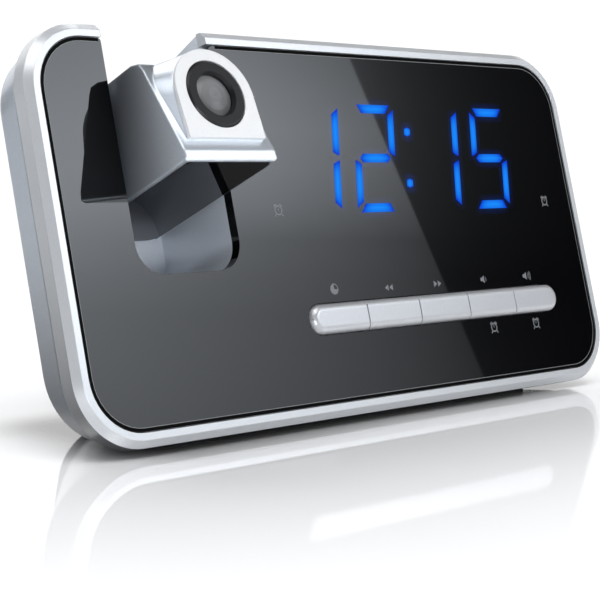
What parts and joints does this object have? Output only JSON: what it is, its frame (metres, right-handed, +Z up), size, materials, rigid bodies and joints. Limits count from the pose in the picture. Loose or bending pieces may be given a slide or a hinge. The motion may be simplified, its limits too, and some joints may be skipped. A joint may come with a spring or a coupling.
{
  "type": "projection alarm clock",
  "caption": "Leaning desk alarm clock with a wide black face, a blue digital display, a row of silver keys and a tilting projector head.",
  "frame": {"origin": "on the table under the middle of the overall box, centre of width and depth", "axes": "+X along the width to the right as seen from the front, +Y to the back, +Z up; the face looks towards -Y"},
  "size_m": [0.2114, 0.0806, 0.1061],
  "materials": {
    "silver": "satin metallic paint on plastic",
    "gloss_black": "mirror gloss acrylic",
    "pearl_white": "smooth satin",
    "key_silver": "satin",
    "dark_grey": "fine texture",
    "black_ring": "satin",
    "white_plastic": "smooth",
    "switch_black": "smooth",
    "board_green": "satin",
    "light_blue": "glowing",
    "lens_glass": "polished",
    "lamp_red": "clear red",
    "steel": "plain",
    "ferrite": "matt",
    "cone_paper": "fibrous paper",
    "cell_wrap": "plain wrap",
    "rubber": "matt"
  },
  "bodies": {
    "housing": {"front_bezel": "silver", "front_panel": "gloss_black", "rear_shell": "silver", "projector_pocket": "silver", "friction_washers": "white_plastic", "rear_cover": "dark_grey", "battery_box": "dark_grey", "backup_cells": "cell_wrap", "battery_contacts": "steel", "power_jack": "black_ring", "speaker_basket": "steel", "speaker_cone": "cone_paper", "speaker_magnet": "ferrite", "key_switches": "switch_black", "key_guide": "dark_grey", "key_board": "board_green", "display_block": "dark_grey", "display_segments": "light_blue", "main_board": "board_green", "board_chips": "switch_black", "tuner_can": "steel", "cover_screws": "steel", "board_screws": "steel", "base_plate": "dark_grey", "rubber_feet": "rubber"},
    "projector_head": {"head_shell": "silver", "head_door": "gloss_black", "lens_plate": "pearl_white", "lens_barrel": "dark_grey", "condenser_lens": "lens_glass", "lcd_slide": "lens_glass", "projector_lamp": "lamp_red", "projector_board": "board_green", "hinge_pins": "steel"},
    "focus": {"focus_ring": "black_ring", "projection_lens": "lens_glass"},
    "battery_lid": {"battery_door": "dark_grey"},
    "button_1": {"key_1": "key_silver", "plunger_1": "white_plastic"},
    "button_2": {"key_2": "key_silver", "plunger_2": "white_plastic"},
    "button_3": {"key_3": "key_silver", "plunger_3": "white_plastic"},
    "button_4": {"key_4": "key_silver", "plunger_4": "white_plastic"},
    "button_5": {"key_5": "key_silver", "plunger_5": "white_plastic"}
  },
  "joints": [
    {"name": "head_tilt", "type": "hinge", "parent": "housing", "child": "projector_head", "pos_m": [-0.0637, -0.00447, 0.07068], "axis": [1, 0, 0], "range_deg": [-80.4, 0]},
    {"name": "focus_turn", "type": "hinge", "parent": "projector_head", "child": "focus", "pos_m": [-0.0637, -0.03406, 0.08863], "axis": [0, -0.9128, 0.4083], "range_deg": [-60, 60]},
    {"name": "battery_door_swing", "type": "hinge", "parent": "housing", "child": "battery_lid", "pos_m": [0.029, 0.02354, 0.01619], "axis": [-1, 0, 0], "range_deg": [0, 85]},
    {"name": "key_1_press", "type": "slide", "parent": "housing", "child": "button_1", "axis": [0, 0.9681, -0.2504], "range_m": [0, 0.0008], "stiffness_N_per_m": 400, "springref_m": -0.002},
    {"name": "key_2_press", "type": "slide", "parent": "housing", "child": "button_2", "axis": [0, 0.9681, -0.2504], "range_m": [0, 0.0008], "stiffness_N_per_m": 400, "springref_m": -0.002},
    {"name": "key_3_press", "type": "slide", "parent": "housing", "child": "button_3", "axis": [0, 0.9681, -0.2504], "range_m": [0, 0.0008], "stiffness_N_per_m": 400, "springref_m": -0.002},
    {"name": "key_4_press", "type": "slide", "parent": "housing", "child": "button_4", "axis": [0, 0.9681, -0.2504], "range_m": [0, 0.0008], "stiffness_N_per_m": 400, "springref_m": -0.002},
    {"name": "key_5_press", "type": "slide", "parent": "housing", "child": "button_5", "axis": [0, 0.9681, -0.2504], "range_m": [0, 0.0008], "stiffness_N_per_m": 400, "springref_m": -0.002}
  ]
}
